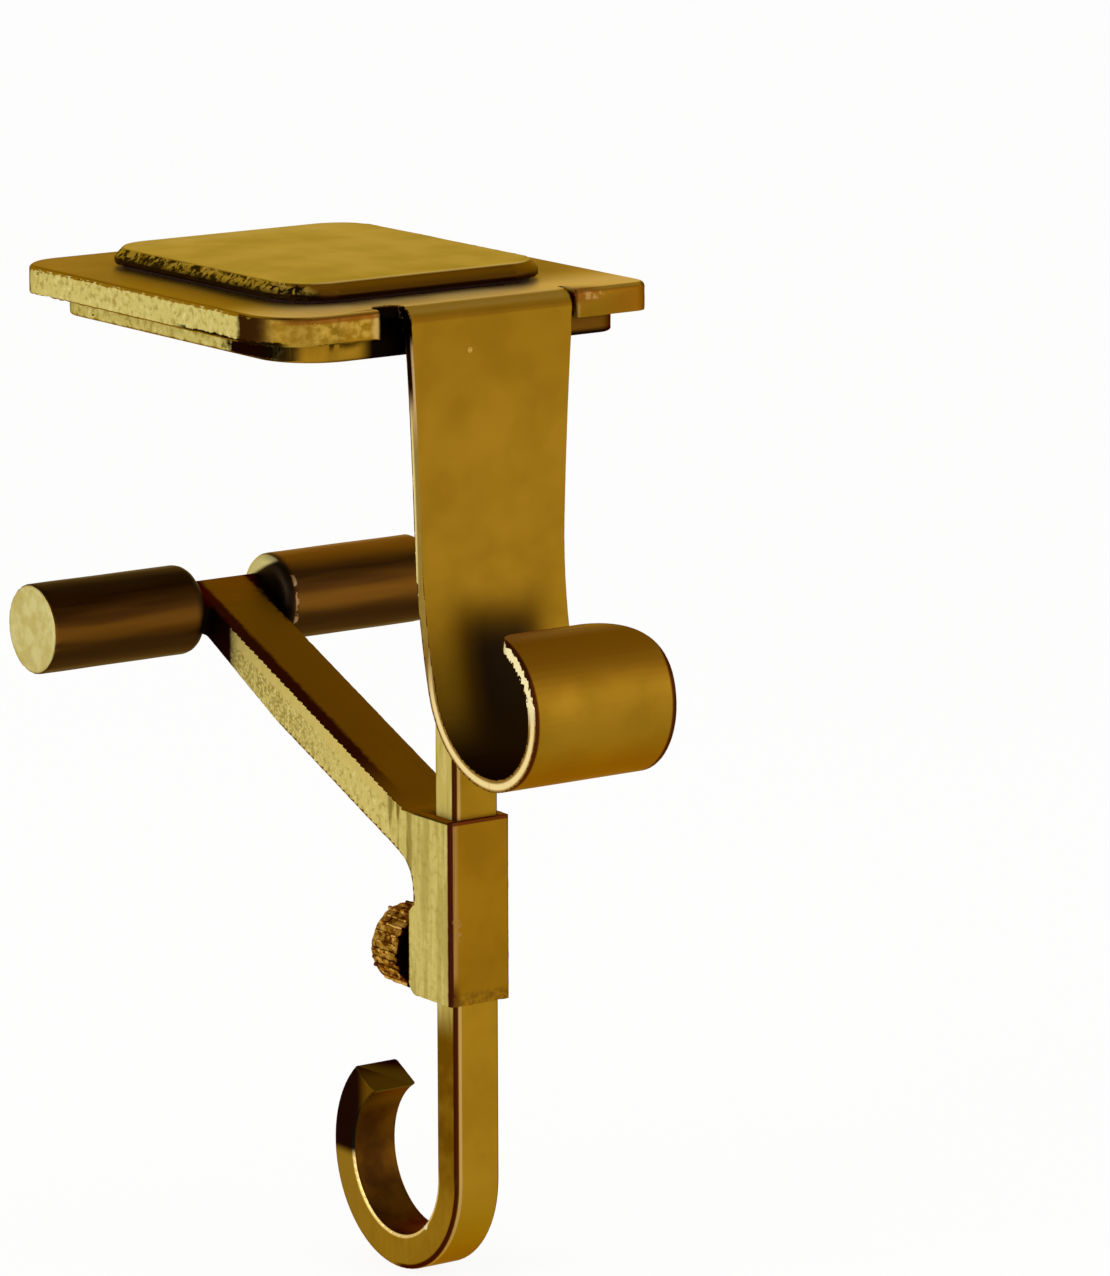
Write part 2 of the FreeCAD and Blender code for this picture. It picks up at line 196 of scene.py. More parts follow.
def rough_copy(node_name, piece_name, picked, dent, chip, seams=()):
    """A copy of a CAD node. Its picked faces are cut into small cells, dented and chipped inwards.

    Seams are distances along X where the whole form is cut, so that dents don't spread past them.
    """
    form = bmesh.new()
    form.from_mesh(nodes[node_name].data)
    bmesh.ops.remove_doubles(form, verts=form.verts, dist=SAME_SPOT)
    for seam in seams:
        bmesh.ops.bisect_plane(
            form, geom=form.verts[:] + form.edges[:] + form.faces[:], dist=SAME_SPOT,
            plane_co=(seam, 0.0, 0.0), plane_no=(1.0, 0.0, 0.0))
    for face in form.faces:
        face.material_index = 1 if picked(face.normal, face.calc_center_median()) else 0
    for axis in range(3):
        levels = [vert.co[axis] for face in form.faces if face.material_index for vert in face.verts]
        count = int((max(levels) - min(levels)) / ROUGH_CELL)
        across = Vector([1.0 if number == axis else 0.0 for number in range(3)])
        for step in range(count):
            faces = [face for face in form.faces if face.material_index]
            edges = {edge for face in faces for edge in face.edges}
            verts = {vert for face in faces for vert in face.verts}
            bmesh.ops.bisect_plane(
                form, geom=list(verts) + list(edges) + faces, dist=SAME_SPOT,
                plane_co=across * (min(levels) + (step + 0.5) * ROUGH_CELL), plane_no=across)
    moves = []
    for vert in form.verts:
        near = [face for face in vert.link_faces if face.material_index]
        if not near:
            continue
        normal = sum((face.normal for face in near), Vector()).normalized()
        rough = noise.fractal(vert.co / ROUGH_GRAIN, *ROUGH_FRACTAL)
        move = -normal * dent(vert.co) * min(1.0, max(0.0, 0.5 + 0.7 * rough))
        if len(near) < len(vert.link_faces):
            middle = sum((face.calc_center_median() for face in near), Vector()) / len(near)
            move += (middle - vert.co).normalized() * chip(vert.co)
        moves.append((vert, move))
    for vert, move in moves:
        vert.co += move
    for face in form.faces:
        face.material_index = 0
    return keep(form, piece_name)


def keep(form, piece_name):
    """Stores a bmesh as a piece, smooth apart from its sharp edges."""
    mesh = bpy.data.meshes.new(piece_name)
    form.to_mesh(mesh)
    form.free()
    mesh.shade_smooth()
    mesh.set_sharp_from_angle(angle=SHARP_ANGLE)
    piece = bpy.data.objects.new(piece_name, mesh)
    bpy.context.scene.collection.objects.link(piece)
    even = piece.modifiers.new("even_faces", "WEIGHTED_NORMAL")
    even.keep_sharp = True
    return piece


def surface_values(tree):
    """Sockets for a surface point's place and normal, whole and in parts."""
    where = add(tree, "ShaderNodeTexCoord")
    place = add(tree, "ShaderNodeSeparateXYZ", {0: where.outputs["Object"]})
    facing = add(tree, "ShaderNodeSeparateXYZ", {0: where.outputs["Normal"]})
    at = {"place": where.outputs["Object"], "normal": where.outputs["Normal"]}
    for axis in "XYZ":
        at[axis.lower()] = place.outputs[axis]
        at["n" + axis.lower()] = facing.outputs[axis]
    at["sideways"] = add(tree, "ShaderNodeMath", {0: at["nx"]}, operation="ABSOLUTE").outputs[0]
    at["ahead"] = add(tree, "ShaderNodeMath", {0: at["ny"]}, operation="ABSOLUTE").outputs[0]
    return at


def lay(tree, colour, over, *limits):
    """Lays a colour over the colour so far, where each value has passed from its start to its end.

    A limit is a value, its start, its end and, if it isn't full, its greatest share.
    """
    share = None
    for value, start, end, *most in limits:
        step = add(tree, "ShaderNodeMapRange",
                   {"Value": value, "From Min": start, "From Max": end, "To Max": most[0] if most else 1.0},
                   interpolation_type="SMOOTHSTEP").outputs[0]
        if share is None:
            share = step
        else:
            share = add(tree, "ShaderNodeMath", {0: share, 1: step}, operation="MULTIPLY").outputs[0]
    mixed = add(tree, "ShaderNodeMix", {0: share, 6: colour, 7: over}, data_type="RGBA")
    return mixed.outputs[2]


def round_axis(tree, at, centre, across):
    """How far a surface point is from an axis, and how much it faces it, from 1 to -1.

    The axis passes through a centre, and across keeps the two directions across it.
    """
    to_axis = add(tree, "ShaderNodeVectorMath", {0: centre, 1: at["place"]}, operation="SUBTRACT")
    to_axis = add(tree, "ShaderNodeVectorMath", {0: to_axis.outputs[0], 1: across}, operation="MULTIPLY")
    heading = add(tree, "ShaderNodeVectorMath", {0: to_axis.outputs[0]}, operation="NORMALIZE")
    inward = add(tree, "ShaderNodeVectorMath", {0: heading.outputs[0], 1: at["normal"]},
                 operation="DOT_PRODUCT")
    reach = add(tree, "ShaderNodeVectorMath", {0: to_axis.outputs[0]}, operation="LENGTH")
    return reach.outputs["Value"], inward.outputs["Value"]


def reach_from(tree, at, centre):
    """How far a surface point is from a centre."""
    return add(tree, "ShaderNodeVectorMath", {0: at["place"], 1: centre},
               operation="DISTANCE").outputs["Value"]


def away_from(tree, value, middle):
    """How far a value is from its middle, on either side."""
    offset = add(tree, "ShaderNodeMath", {0: value, 1: middle}, operation="SUBTRACT")
    return add(tree, "ShaderNodeMath", {0: offset.outputs[0]}, operation="ABSOLUTE").outputs[0]


def start_gold(name, face, shade, side, pit, crest, line, stretch=(1.0, 1.0, 1.0)):
    """Starts a gold finish. Returns its material, its surface values and its colour so far.

    Smooth faces go from face to shade, and rough sides are side, with pit and crest in their grain,
    which stretch draws out. Line is the painted shade on rounded corners.
    """
    made = new_material(name)
    tree = made.node_tree
    at = surface_values(tree)

    # Plating that is a little thinner in soft clouds about 9 mm across.
    cloud = add(tree, "ShaderNodeTexNoise", {"Vector": at["place"], "Scale": 1 / (9 * MM), "Detail": 3.0})
    at["cloud"] = cloud.outputs["Fac"]
    colour = lay(tree, linear(face), linear(shade), (at["cloud"], 0.35, 0.7, 0.7))

    # Sheared or cast side skin: crumbs about 1 mm long, with dark pits and worn bright tops. Its pale
    # # colour is partly the worn skin and partly a painted sheen.
    drawn = add(tree, "ShaderNodeVectorMath", {0: at["place"], 1: stretch}, operation="MULTIPLY")
    grain = add(tree, "ShaderNodeTexNoise", {"Vector": drawn.outputs[0], "Scale": 1 / ROUGH_GRAIN,
                                             "Detail": 4.0, "Roughness": 0.6, "Distortion": 0.2})
    at["grain"] = grain.outputs["Fac"]
    worn = lay(tree, linear(side), linear(pit), (at["grain"], 0.5, 0.36, 0.5))
    worn = lay(tree, worn, linear(crest), (at["grain"], 0.56, 0.7, 0.5))
    ragged = add(tree, "ShaderNodeMath", {0: at["grain"], 1: 0.4, 2: at["sideways"]},
                 operation="MULTIPLY_ADD")
    at["edge"] = add(tree, "ShaderNodeMapRange", {"Value": ragged.outputs[0], "From Min": 1.08,
                                                  "From Max": 1.14}).outputs[0]
    colour = lay(tree, colour, worn, (at["edge"], 0.0, 1.0))

    # Painted shade on every upright rounded corner between a front and a side.
    corner = add(tree, "ShaderNodeMath", {0: at["sideways"], 1: at["ahead"]}, operation="MINIMUM")
    colour = lay(tree, colour, linear(line), (corner.outputs[0], 0.2, 0.5, 0.9))
    return made, at, colour


def plate_over(made, at, colour, sheen, smooth, rough):
    """Ends a gold finish with its metal: smooth faces, rough sides, and a sheen at a low angle.

    Faces are duller where the plating is thin, and keep a faint unevenness of the grain.
    """
    tree = made.node_tree
    soft = add(tree, "ShaderNodeMapRange", {"Value": at["cloud"], "From Min": 0.3, "From Max": 0.7,
                                            "To Min": smooth - 0.06, "To Max": smooth + 0.06})
    dull = add(tree, "ShaderNodeMix", {0: at["edge"], 2: soft.outputs[0], 3: rough})
    depth = add(tree, "ShaderNodeMapRange", {"Value": at["edge"], "To Min": 0.1, "To Max": 1.0})
    bump = add(tree, "ShaderNodeBump", {"Height": at["grain"], "Strength": depth.outputs[0],
                                        "Distance": 0.06 * MM})
    metal = add(tree, "ShaderNodeBsdfPrincipled",
                {"Base Color": colour, "Roughness": dull.outputs[0], "Metallic": 1.0,
                 "Specular Tint": linear(sheen), "Normal": bump.outputs[0]})
    add(tree, "ShaderNodeOutputMaterial", {"Surface": metal.outputs[0]})


# Antique gold plating on pressed sheet: a warm brown-gold face with a soft sheen.
sheet_gold, at, colour = start_gold(
    "antique_gold_plated_sheet", "#98701A", "#8E6814", "#C6B971", "#8A7430", "#E2DCA6", "#3A1E06")
tree = sheet_gold.node_tree
chips = add(tree, "ShaderNodeTexNoise", {"Vector": at["place"], "Scale": 1 / (1.3 * MM),
                                         "Detail": 4.0, "Distortion": 0.2}).outputs["Fac"]
on_sides = (at["edge"], 0.0, 1.0)
on_front = (at["ny"], -0.7, -0.95)

# Up-facing faces are painted lighter as a painted highlight, most of all between the pad and the
# # strap. Front faces are darker towards the top.
colour = lay(tree, colour, linear("#AC8838"), (at["nz"], 0.9, 0.99, 0.7))
colour = lay(tree, colour, linear("#F2D086"), (at["nz"], 0.9, 0.99), (at["y"], -18 * MM, -31 * MM, 0.85))
colour = lay(tree, colour, linear("#86600F"), (at["z"], -14 * MM, 4 * MM, 0.5), (at["ny"], -0.8, -0.95))

# The bend has a painted highlight where it leaves the plate and painted shade where it turns down.
on_bend = ((at["y"], -30 * MM, -33 * MM), (at["sideways"], 0.3, 0.1), (at["z"], -4 * MM, -1 * MM))
colour = lay(tree, colour, linear("#BC9440"), (at["nz"], 0.98, 0.9), (at["nz"], 0.5, 0.75, 0.7), *on_bend)
colour = lay(tree, colour, linear("#704A0C"), (at["nz"], 0.6, 0.35), (at["nz"], 0.02, 0.2, 0.7),
             (at["x"], -11 * MM, -9.8 * MM), *on_bend)

# Inside the curl painted shade darkens the metal, deeper away from the strap's edges and low in the curl.
inward = round_axis(tree, at, CURL_CENTRE, ACROSS_X)[1]
from_middle = away_from(tree, at["x"], STRAP_MIDDLE)
colour = lay(tree, colour, linear("#553806"), (from_middle, 11 * MM, 5 * MM),
             (at["z"], -31 * MM, -41 * MM), (inward, -0.1, 0.4))
colour = lay(tree, colour, linear("#20150A"), (from_middle, 8 * MM, 2.5 * MM),
             (at["z"], -34.5 * MM, -43 * MM), (inward, -0.1, 0.4))
colour = lay(tree, colour, linear("#2C1B08"), (at["z"], -47 * MM, -56 * MM), (inward, 0.2, 0.6))

# Outside, painted shade makes the curl redder above and below its belt, the level of its bright band,
# # with a line of stain beside its edge.
from_belt = away_from(tree, at["z"], BELT_LEVEL)
colour = lay(tree, colour, linear("#8E5A10"), (from_belt, 2 * MM, 9 * MM, 0.75), (inward, -0.3, -0.6),
             (at["y"], -46 * MM, -50 * MM))
colour = lay(tree, colour, linear("#4A1F08"), (from_middle, 11.2 * MM, 11.6 * MM), (inward, -0.4, -0.7),
             (at["y"], -38 * MM, -44 * MM), (at["edge"], 0.6, 0.2))

# The plate's near corner is painted dark at its start and mottled brown after it, a painted shade
# # where the corner turns from the side to the front; the front is flaked, with a painted highlight
# # along the cut's left edge.
ragged_y = add(tree, "ShaderNodeMath", {0: chips, 1: 1.6 * MM, 2: at["y"]}, operation="MULTIPLY_ADD")
corner_limits = ((ragged_y.outputs[0], -23.6 * MM, -24.8 * MM), (at["z"], 1.2 * MM, 1.6 * MM),
                 (at["x"], -20 * MM, -24 * MM), (at["nz"], 0.75, 0.5))
colour = lay(tree, colour, linear("#301A07"), *corner_limits)
patchy = lay(tree, linear("#94701C"), linear("#AC8A34"), (chips, 0.35, 0.7))
colour = lay(tree, colour, patchy, (at["x"], -31.6 * MM, -29.6 * MM, 0.9), *corner_limits)
colour = lay(tree, colour, linear("#B8943C"), (chips, 0.42, 0.66, 0.8), (at["x"], -29.5 * MM, -25 * MM),
             (at["x"], -14.5 * MM, -15.5 * MM), (at["z"], 3.4 * MM, 4.2 * MM), on_front)
colour = lay(tree, colour, linear("#C4A25E"), (at["x"], -16.6 * MM, -15.8 * MM, 0.7),
             (at["x"], -14.8 * MM, -15.2 * MM), (at["z"], 2 * MM, 4 * MM), on_front)
colour = lay(tree, colour, linear("#7C4410"), (at["z"], 6.1 * MM, 6.5 * MM, 0.8), (at["ny"], -0.5, -0.7),
             (at["x"], -14.5 * MM, -15.5 * MM), (at["x"], -31 * MM, -28 * MM))

# Right of the strap the rim turns orange-brown. The narrow relief cut is red-brown, with torn crumbs.
colour = lay(tree, colour, linear("#86520E"), (at["x"], 20 * MM, 30 * MM, 0.8),
             (at["y"], -33 * MM, -35 * MM), (at["z"], 2 * MM, 4 * MM), on_front)
colour = lay(tree, colour, linear("#86481A"), (at["x"], 18.2 * MM, 18.8 * MM, 0.6),
             (at["x"], 24 * MM, 20 * MM), (at["z"], 4.6 * MM, 6.2 * MM), (at["y"], -33 * MM, -35 * MM))
colour = lay(tree, colour, linear("#B48C4C"), (at["grain"], 0.5, 0.6, 0.7), (at["x"], 18.6 * MM, 19.2 * MM),
             (at["x"], 24 * MM, 22 * MM), (at["z"], 5.4 * MM, 5.9 * MM), (at["z"], 7 * MM, 6.6 * MM),
             (at["y"], -34 * MM, -35 * MM))
colour = lay(tree, colour, linear("#B48848"), (at["x"], 19.4 * MM, 19.0 * MM, 0.6),
             (at["x"], 18.4 * MM, 18.8 * MM), (at["z"], 5.6 * MM, 4.6 * MM), on_front)
colour = lay(tree, colour, linear("#64200C"), (at["x"], 17.0 * MM, 17.9 * MM, 0.85),
             (at["x"], 19.1 * MM, 18.9 * MM), (at["z"], 1.5 * MM, 3.5 * MM), (at["z"], 7.1 * MM, 6.4 * MM),
             (at["sideways"], 0.4, 0.7))
# Painted shade: the cut between the rim and the strap is black.
colour = lay(tree, colour, BLACK_SHADE, (at["x"], -15.6 * MM, -14.9 * MM),
             (at["x"], -9.7 * MM, -10.3 * MM), (at["y"], -29 * MM, -31 * MM), (at["z"], 7.25 * MM, 7.0 * MM))

# The strap's own side is smooth and brightest along its back; beside the cut it is black with painted shade.
strap_side = ((at["x"], 0.0, -5 * MM), (at["x"], -13 * MM, -11 * MM), on_sides)
colour = lay(tree, colour, linear("#8E7230"), (at["z"], 3 * MM, -1 * MM, 0.9), on_sides)
colour = lay(tree, colour, linear("#E0D090"), (at["y"], -34.6 * MM, -34.1 * MM, 0.9),
             (at["z"], 2 * MM, -1 * MM), on_sides)
colour = lay(tree, colour, linear("#C8A878"), (at["z"], -14 * MM, -5 * MM), *strap_side)
colour = lay(tree, colour, BLACK_SHADE, (at["z"], -9 * MM, -4 * MM), (at["y"], -35.05 * MM, -34.75 * MM),
             *strap_side)
colour = lay(tree, colour, BLACK_SHADE, (at["z"], 1.5 * MM, 3.5 * MM), (at["y"], -30 * MM, -31 * MM),
             *strap_side)

# The curl's rim is brown, with a bright rubbed line along the middle of its front and back arcs.
colour = lay(tree, colour, linear("#86642A"), (at["z"], -38 * MM, -43 * MM, 0.9), on_sides)
for arc_centre, arc_radius, start, end in FRONT_ARC, BACK_ARC:
    reach = round_axis(tree, at, arc_centre, ACROSS_X)[0]
    colour = lay(tree, colour, linear("#E6D298"), (reach, arc_radius - 1.5 * MM, arc_radius - 1.1 * MM),
                 (reach, arc_radius - 0.2 * MM, arc_radius - 0.6 * MM), (at["y"], start, end),
                 (at["z"], -40 * MM, -50 * MM), on_sides)

# The curl's near rim is serrated where the shears tore it, down to bright metal.
colour = lay(tree, colour, linear("#E9DDAE"), (at["y"], -53 * MM, -54.5 * MM),
             (at["z"], -49.5 * MM, -44.5 * MM), on_sides)

# A bright weld nib on the strap's front.
colour = lay(tree, colour, linear("#C8A850"), (reach_from(tree, at, WELD_NIB), 0.42 * MM, 0.3 * MM))

# A crack along the rim's lower left edge, where the pad has pulled away from it, painted black as the
# # shade inside it.
ragged_z = add(tree, "ShaderNodeMath", {0: chips, 1: 1.1 * MM, 2: at["z"]}, operation="MULTIPLY_ADD")
colour = lay(tree, colour, linear("#140C03"), (ragged_z.outputs[0], 4.35 * MM, 4.15 * MM),
             (at["y"], -8 * MM, -12 * MM), (at["nx"], -0.6, -0.8), (at["z"], 1.9 * MM, 2.1 * MM),
             (at["x"], -18 * MM, -22 * MM))
plate_over(sheet_gold, at, colour, "#E8C46A", 0.5, 0.6)


def sheared_edges(normal, middle):
    """Faces of the hanger that the shears cut: the rim's outer sides, its chipped front and the strap."""
    outward = abs(normal.x) > 0.8 and (normal.x * middle.x > 0 or middle.z < 2 * MM)
    chipped = normal.y < -0.95 and middle.x < -12 * MM and middle.z > 3 * MM
    return outward or chipped


def sheared_chips(spot):
    """Crumbled along the plate, nearly clean down the strap, serrated along the curl's near rim."""
    if spot.z > 2 * MM:
        return crumbled(0.35 * MM)(spot)
    if spot.x < 0 and spot.y < -53.5 * MM and spot.z > -45.5 * MM:
        return 0.32 * MM * (1.0 + math.sin(spot.z / SERRATION))
    return 0.0


strap = rough_copy("hanger", "pressed_hanger", sheared_edges,
                   lambda spot: 0.08 * MM if spot.z > 2 * MM else 0.02 * MM, sheared_chips,
                   (-9.6 * MM, -7.6 * MM, 15.6 * MM, 17.6 * MM))
form = bmesh.new()
form.from_mesh(strap.data)
nib = bmesh.ops.create_icosphere(form, subdivisions=3, radius=0.25 * MM)["verts"]
for vert in nib:
    vert.co *= 1.0 + 0.25 * noise.noise(vert.co / (0.4 * MM))
    vert.co += Vector(WELD_NIB)
form.to_mesh(strap.data)
form.free()
strap.data.shade_smooth()
strap.data.set_sharp_from_angle(angle=SHARP_ANGLE)
strap.data.materials.append(sheet_gold)
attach(strap, "holder")
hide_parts("hanger")

# Under pad: moulded rubber block, glued inside the rim and coated in the same gold. The coat is
# # rubbed pale along its sides. Painted shade turns it black towards its near corner, beside the strap
# # and at its right front corner and foot, and darker right of the strap; a painted highlight lies on
# # the turn of the near corner.
pad_gold, at, colour = start_gold(
    "gold_coated_rubber", "#8F6A18", "#7E5A12", "#C2B468", "#86702A", "#E4DCA4", "#1C1004")
tree = pad_gold.node_tree
ragged_y = add(tree, "ShaderNodeMath", {0: at["grain"], 1: 9.0 * MM, 2: at["y"]},
               operation="MULTIPLY_ADD")
colour = lay(tree, colour, linear("#100903"), (ragged_y.outputs[0], -9 * MM, -12 * MM),
             (at["nx"], -0.75, -0.95))
# Painted highlight on the turn of the near corner.
colour = lay(tree, colour, linear("#A87C1C"), (at["nx"], -0.8, -0.6), (at["nx"], -0.2, -0.4, 0.9),
             (at["ny"], -0.3, -0.5))
colour = lay(tree, colour, BLACK_SHADE, (at["x"], -17 * MM, -14 * MM), (at["x"], 17 * MM, 14 * MM),
             (at["y"], -28 * MM, -30 * MM))
colour = lay(tree, colour, linear("#64400F"), (at["x"], 14 * MM, 15 * MM), (at["y"], -28 * MM, -30 * MM))
colour = lay(tree, colour, linear("#120A04"), (at["x"], 25.5 * MM, 28.2 * MM), (at["y"], -26 * MM, -29 * MM))
colour = lay(tree, colour, linear("#120A04"), (at["z"], 1.1 * MM, 0.3 * MM), (at["x"], 14 * MM, 15 * MM),
             (at["y"], -28 * MM, -30 * MM))
plate_over(pad_gold, at, colour, GOLD_SHEEN, 0.5, 0.6)
pad_block = rough_copy(
    "under_pad", "moulded_under_pad",
    lambda normal, middle: abs(normal.x) > 0.8 and middle.z < 3.2 * MM, lambda spot: 0.08 * MM,
    crumbled(0.25 * MM))
pad_block.data.materials.append(pad_gold)
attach(pad_block, "holder")
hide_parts("under_pad")

# Top pad: die-cut rubber with a bevelled edge, smooth on top. Its slanted sides are crumbled, with
# # dark stain between gold crumbs about 1 mm long, and painted shade makes them dark lower down; its
# # front slope is brown and painted darker lower down as shade.
top_gold, at, colour = start_gold(
    "gold_coated_rubber_sheet", "#C6A546", "#B9973A", "#A08436", "#2C1C06", "#DCCB84", "#5A3C10")
tree = top_gold.node_tree
crumbs = add(tree, "ShaderNodeTexNoise", {"Vector": at["place"], "Scale": 1 / (1.0 * MM),
                                          "Detail": 3.0, "Roughness": 0.6, "Distortion": 0.5})
slope = lay(tree, linear("#86580E"), linear("#2E1A06"), (at["z"], 10.0 * MM, 8.3 * MM))
crumbly = lay(tree, linear("#1E1204"), linear("#AE8C36"), (crumbs.outputs["Fac"], 0.43, 0.58),
              (at["z"], 8.6 * MM, 9.5 * MM))
slope = lay(tree, slope, crumbly, (at["nx"], -0.3, -0.5))
# Painted highlight along the top's front edge.
colour = lay(tree, colour, linear("#DEC078"), (at["y"], -24.2 * MM, -25.5 * MM, 0.8))
colour = lay(tree, colour, slope, (at["z"], 10.18 * MM, 10.05 * MM))
plate_over(top_gold, at, colour, "#F0D890", 0.5, 0.6)
pad_sheet = rough_copy(
    "top_pad", "bevelled_top_pad", lambda normal, middle: abs(normal.x) > 0.6,
    lambda spot: 0.16 * MM, crumbled(0.35 * MM), (-22.2 * MM, 20.2 * MM))
pad_sheet.data.materials.append(top_gold)
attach(pad_sheet, "holder")
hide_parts("top_pad")

# Adhesive foam under the top pad, set in from its edge, so it reads as a black line all round: its
# # near black colour paints the shade of the gap under the pad. It is closed-cell foam: nearly black
# # and dull, with cells about 0.3 mm wide.
foam = new_material("black_adhesive_foam_and_gap_shade")
tree = foam.node_tree
at = surface_values(tree)
cells = add(tree, "ShaderNodeTexVoronoi", {"Vector": at["place"], "Scale": 1 / (0.3 * MM)})
colour = lay(tree, linear("#160502"), linear("#2C1008"), (cells.outputs["Distance"], 0.0, 0.6))
bump = add(tree, "ShaderNodeBump", {"Height": cells.outputs["Distance"], "Strength": 0.6,
                                    "Distance": 0.05 * MM})
skin = add(tree, "ShaderNodeBsdfPrincipled", {"Base Color": colour, "Roughness": 0.9, "IOR": 1.35,
                                              "Normal": bump.outputs[0]})
add(tree, "ShaderNodeOutputMaterial", {"Surface": skin.outputs[0]})
tape = rough_copy("pad_tape", "foam_tape", lambda normal, middle: abs(normal.z) < 0.5,
                  lambda spot: 0.12 * MM, crumbled(0.1 * MM))
tape.data.materials.append(foam)
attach(tape, "holder")
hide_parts("pad_tape")

# Hook bar: drawn flat steel, welded behind the strap, cranked back and bent into the hook. A dark
# # painted shade runs along its front corners, with a painted highlight line beside it.
HOOK_CENTRE = (4.0 * MM, -15.0 * MM, -122.4 * MM)
HOOK_INNER = 10.8 * MM
HOOK_OUTER = 16.0 * MM
HOOK_CHIP = (0.25 * MM, -22.6 * MM, -130.3 * MM)
# Dark painted shade along the bar's rounded front corners.
CORNER_SHADE = linear("#3C1708")

bar_gold, at, colour = start_gold(
    "antique_gold_plated_bar", "#9E7619", "#926B14", "#C0AF62", "#A08C40", "#DDD193", "#3C1708",
    (1.0, 1.0, 0.12))
tree = bar_gold.node_tree
cloud = add(tree, "ShaderNodeTexNoise", {"Vector": at["place"], "Scale": 1 / (5 * MM), "Detail": 3.0})
patch = cloud.outputs["Fac"]
reach_out, inward = round_axis(tree, at, HOOK_CENTRE, ACROSS_X)
on_sides = (at["edge"], 0.0, 1.0)
near_side = (at["sideways"], 0.5, 0.7)

# The side skin is pale above the clamp; below it painted shade makes it deeper, and it lightens again
# # round the hook's bottom and back.
gold_side = lay(tree, linear("#6A4A08"), linear("#7E5E18"), (patch, 0.4, 0.65))
colour = lay(tree, colour, gold_side, (at["z"], -94 * MM, -102 * MM), on_sides)
colour = lay(tree, colour, linear("#A07A26"), (at["z"], -118 * MM, -128 * MM, 0.6), on_sides)
colour = lay(tree, colour, linear("#8E7028"), (at["y"], -12 * MM, -3 * MM, 0.75),
             (at["z"], -118 * MM, -124 * MM), on_sides)

# Painted shade along the front corner of the straight part and round the front of the hook, and the
# # painted highlight line beside it.
colour = lay(tree, colour, CORNER_SHADE, (at["y"], -29.9 * MM, -30.3 * MM),
             (at["z"], -124 * MM, -121 * MM), near_side)
colour = lay(tree, colour, CORNER_SHADE, (reach_out, HOOK_OUTER - 0.9 * MM, HOOK_OUTER - 0.6 * MM),
             (at["z"], -120 * MM, -123 * MM), (at["y"], -14 * MM, -17 * MM), near_side)
colour = lay(tree, colour, linear("#B89452"), (at["x"], 1.25 * MM, 1.05 * MM), (at["sideways"], 0.3, 0.1),
             (at["y"], -15 * MM, -20 * MM))

# The hook's inner face is painted umber as shade, its inner rim is rubbed bright at the bottom.
umber = lay(tree, linear("#402408"), linear("#5E390A"), (patch, 0.35, 0.7))
colour = lay(tree, colour, umber, (inward, 0.2, 0.7), (at["z"], -102 * MM, -114 * MM))
colour = lay(tree, colour, linear("#DDC078"), (reach_out, HOOK_INNER + 0.7 * MM, HOOK_INNER + 0.4 * MM),
             (at["z"], -119 * MM, -125 * MM), near_side)
colour = lay(tree, colour, linear("#F0E6C0"), (reach_from(tree, at, HOOK_CHIP), 0.8 * MM, 0.5 * MM))

# The free end is umber on top, and painted shade makes it nearly black round its back.
colour = lay(tree, colour, linear("#624610"), (at["z"], -118 * MM, -115 * MM),
             (at["y"], -14 * MM, -10 * MM))
for facing in (at["sideways"], 0.4, 0.6), (inward, -0.3, -0.6):
    colour = lay(tree, colour, linear("#12100A"), (at["z"], -124.5 * MM, -122.8 * MM),
                 (at["y"], -8 * MM, -5 * MM), facing)
plate_over(bar_gold, at, colour, GOLD_SHEEN, 0.45, 0.5)


def bar_sides(normal, middle):
    """The flat sides of the hook, below the clamp."""
    return abs(normal.x) > 0.9 and middle.z < -100 * MM


bar = rough_copy("hook_bar", "bent_hook_bar", bar_sides, lambda spot: 0.03 * MM,
                 lambda spot: 0.3 * MM * max(0.0, 1 - (spot - Vector(HOOK_CHIP)).length / (0.9 * MM)))
bar.data.materials.append(bar_gold)
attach(bar, "holder")
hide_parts("hook_bar")

# Clamp casting: collar, arm and neck in one die casting that slides on the bar. Its sides keep the
# # grain of the mould; its front is smooth, and its sloping top is painted darker as shade under the plate.
ARM_SLOPE = math.tan(math.radians(23.2))
ARM_EDGE = (5.9 * MM, -57.8 * MM)
CASTING_MIDDLE = 4.0 * MM
# Red-brown painted shade on the collar's rounded front corner.
RED_CORNER_SHADE = linear("#3C150A")
# Black painted shade in the corners by the sleeves.
POOLED_SHADE = linear("#160B04")
SCRATCHES = ((-0.1 * MM, -31.9 * MM, -83.2 * MM), (0.25 * MM, -31.9 * MM, -85.3 * MM))

cast_gold, at, colour = start_gold(
    "antique_gold_plated_casting", "#946A12", "#8A6010", "#CABC72", "#8C762E", "#E4DAA0", "#3C150A")
tree = cast_gold.node_tree
on_sides = (at["edge"], 0.0, 1.0)
near_side = (at["sideways"], 0.5, 0.7)

# Along the top of the arm's side the mould left a smooth band about 1.5 mm wide.
sloped = add(tree, "ShaderNodeMath", {0: at["y"], 1: -ARM_SLOPE, 2: at["z"]}, operation="MULTIPLY_ADD")
drop = sloped.outputs[0]
top_level = ARM_EDGE[1] - ARM_EDGE[0] * ARM_SLOPE
colour = lay(tree, colour, linear("#C8B66C"), (drop, top_level - 2.2 * MM, top_level - 1.5 * MM, 0.85),
             (at["y"], -18 * MM, -15 * MM), on_sides)

# Below the band the skin is speckled towards the neck with brown pits about 0.5 mm wide.
specks = add(tree, "ShaderNodeTexNoise", {"Vector": at["place"], "Scale": 1 / (0.5 * MM), "Detail": 2.0})
colour = lay(tree, colour, linear("#7A6424"), (specks.outputs["Fac"], 0.54, 0.44, 0.5),
             (at["y"], -8 * MM, 12 * MM), (drop, top_level - 1.6 * MM, top_level - 2.1 * MM), on_sides)

# The collar's sides were rubbed smoother than the arm's.
colour = lay(tree, colour, linear("#C4B56A"), (at["y"], -14 * MM, -19 * MM, 0.55), on_sides)

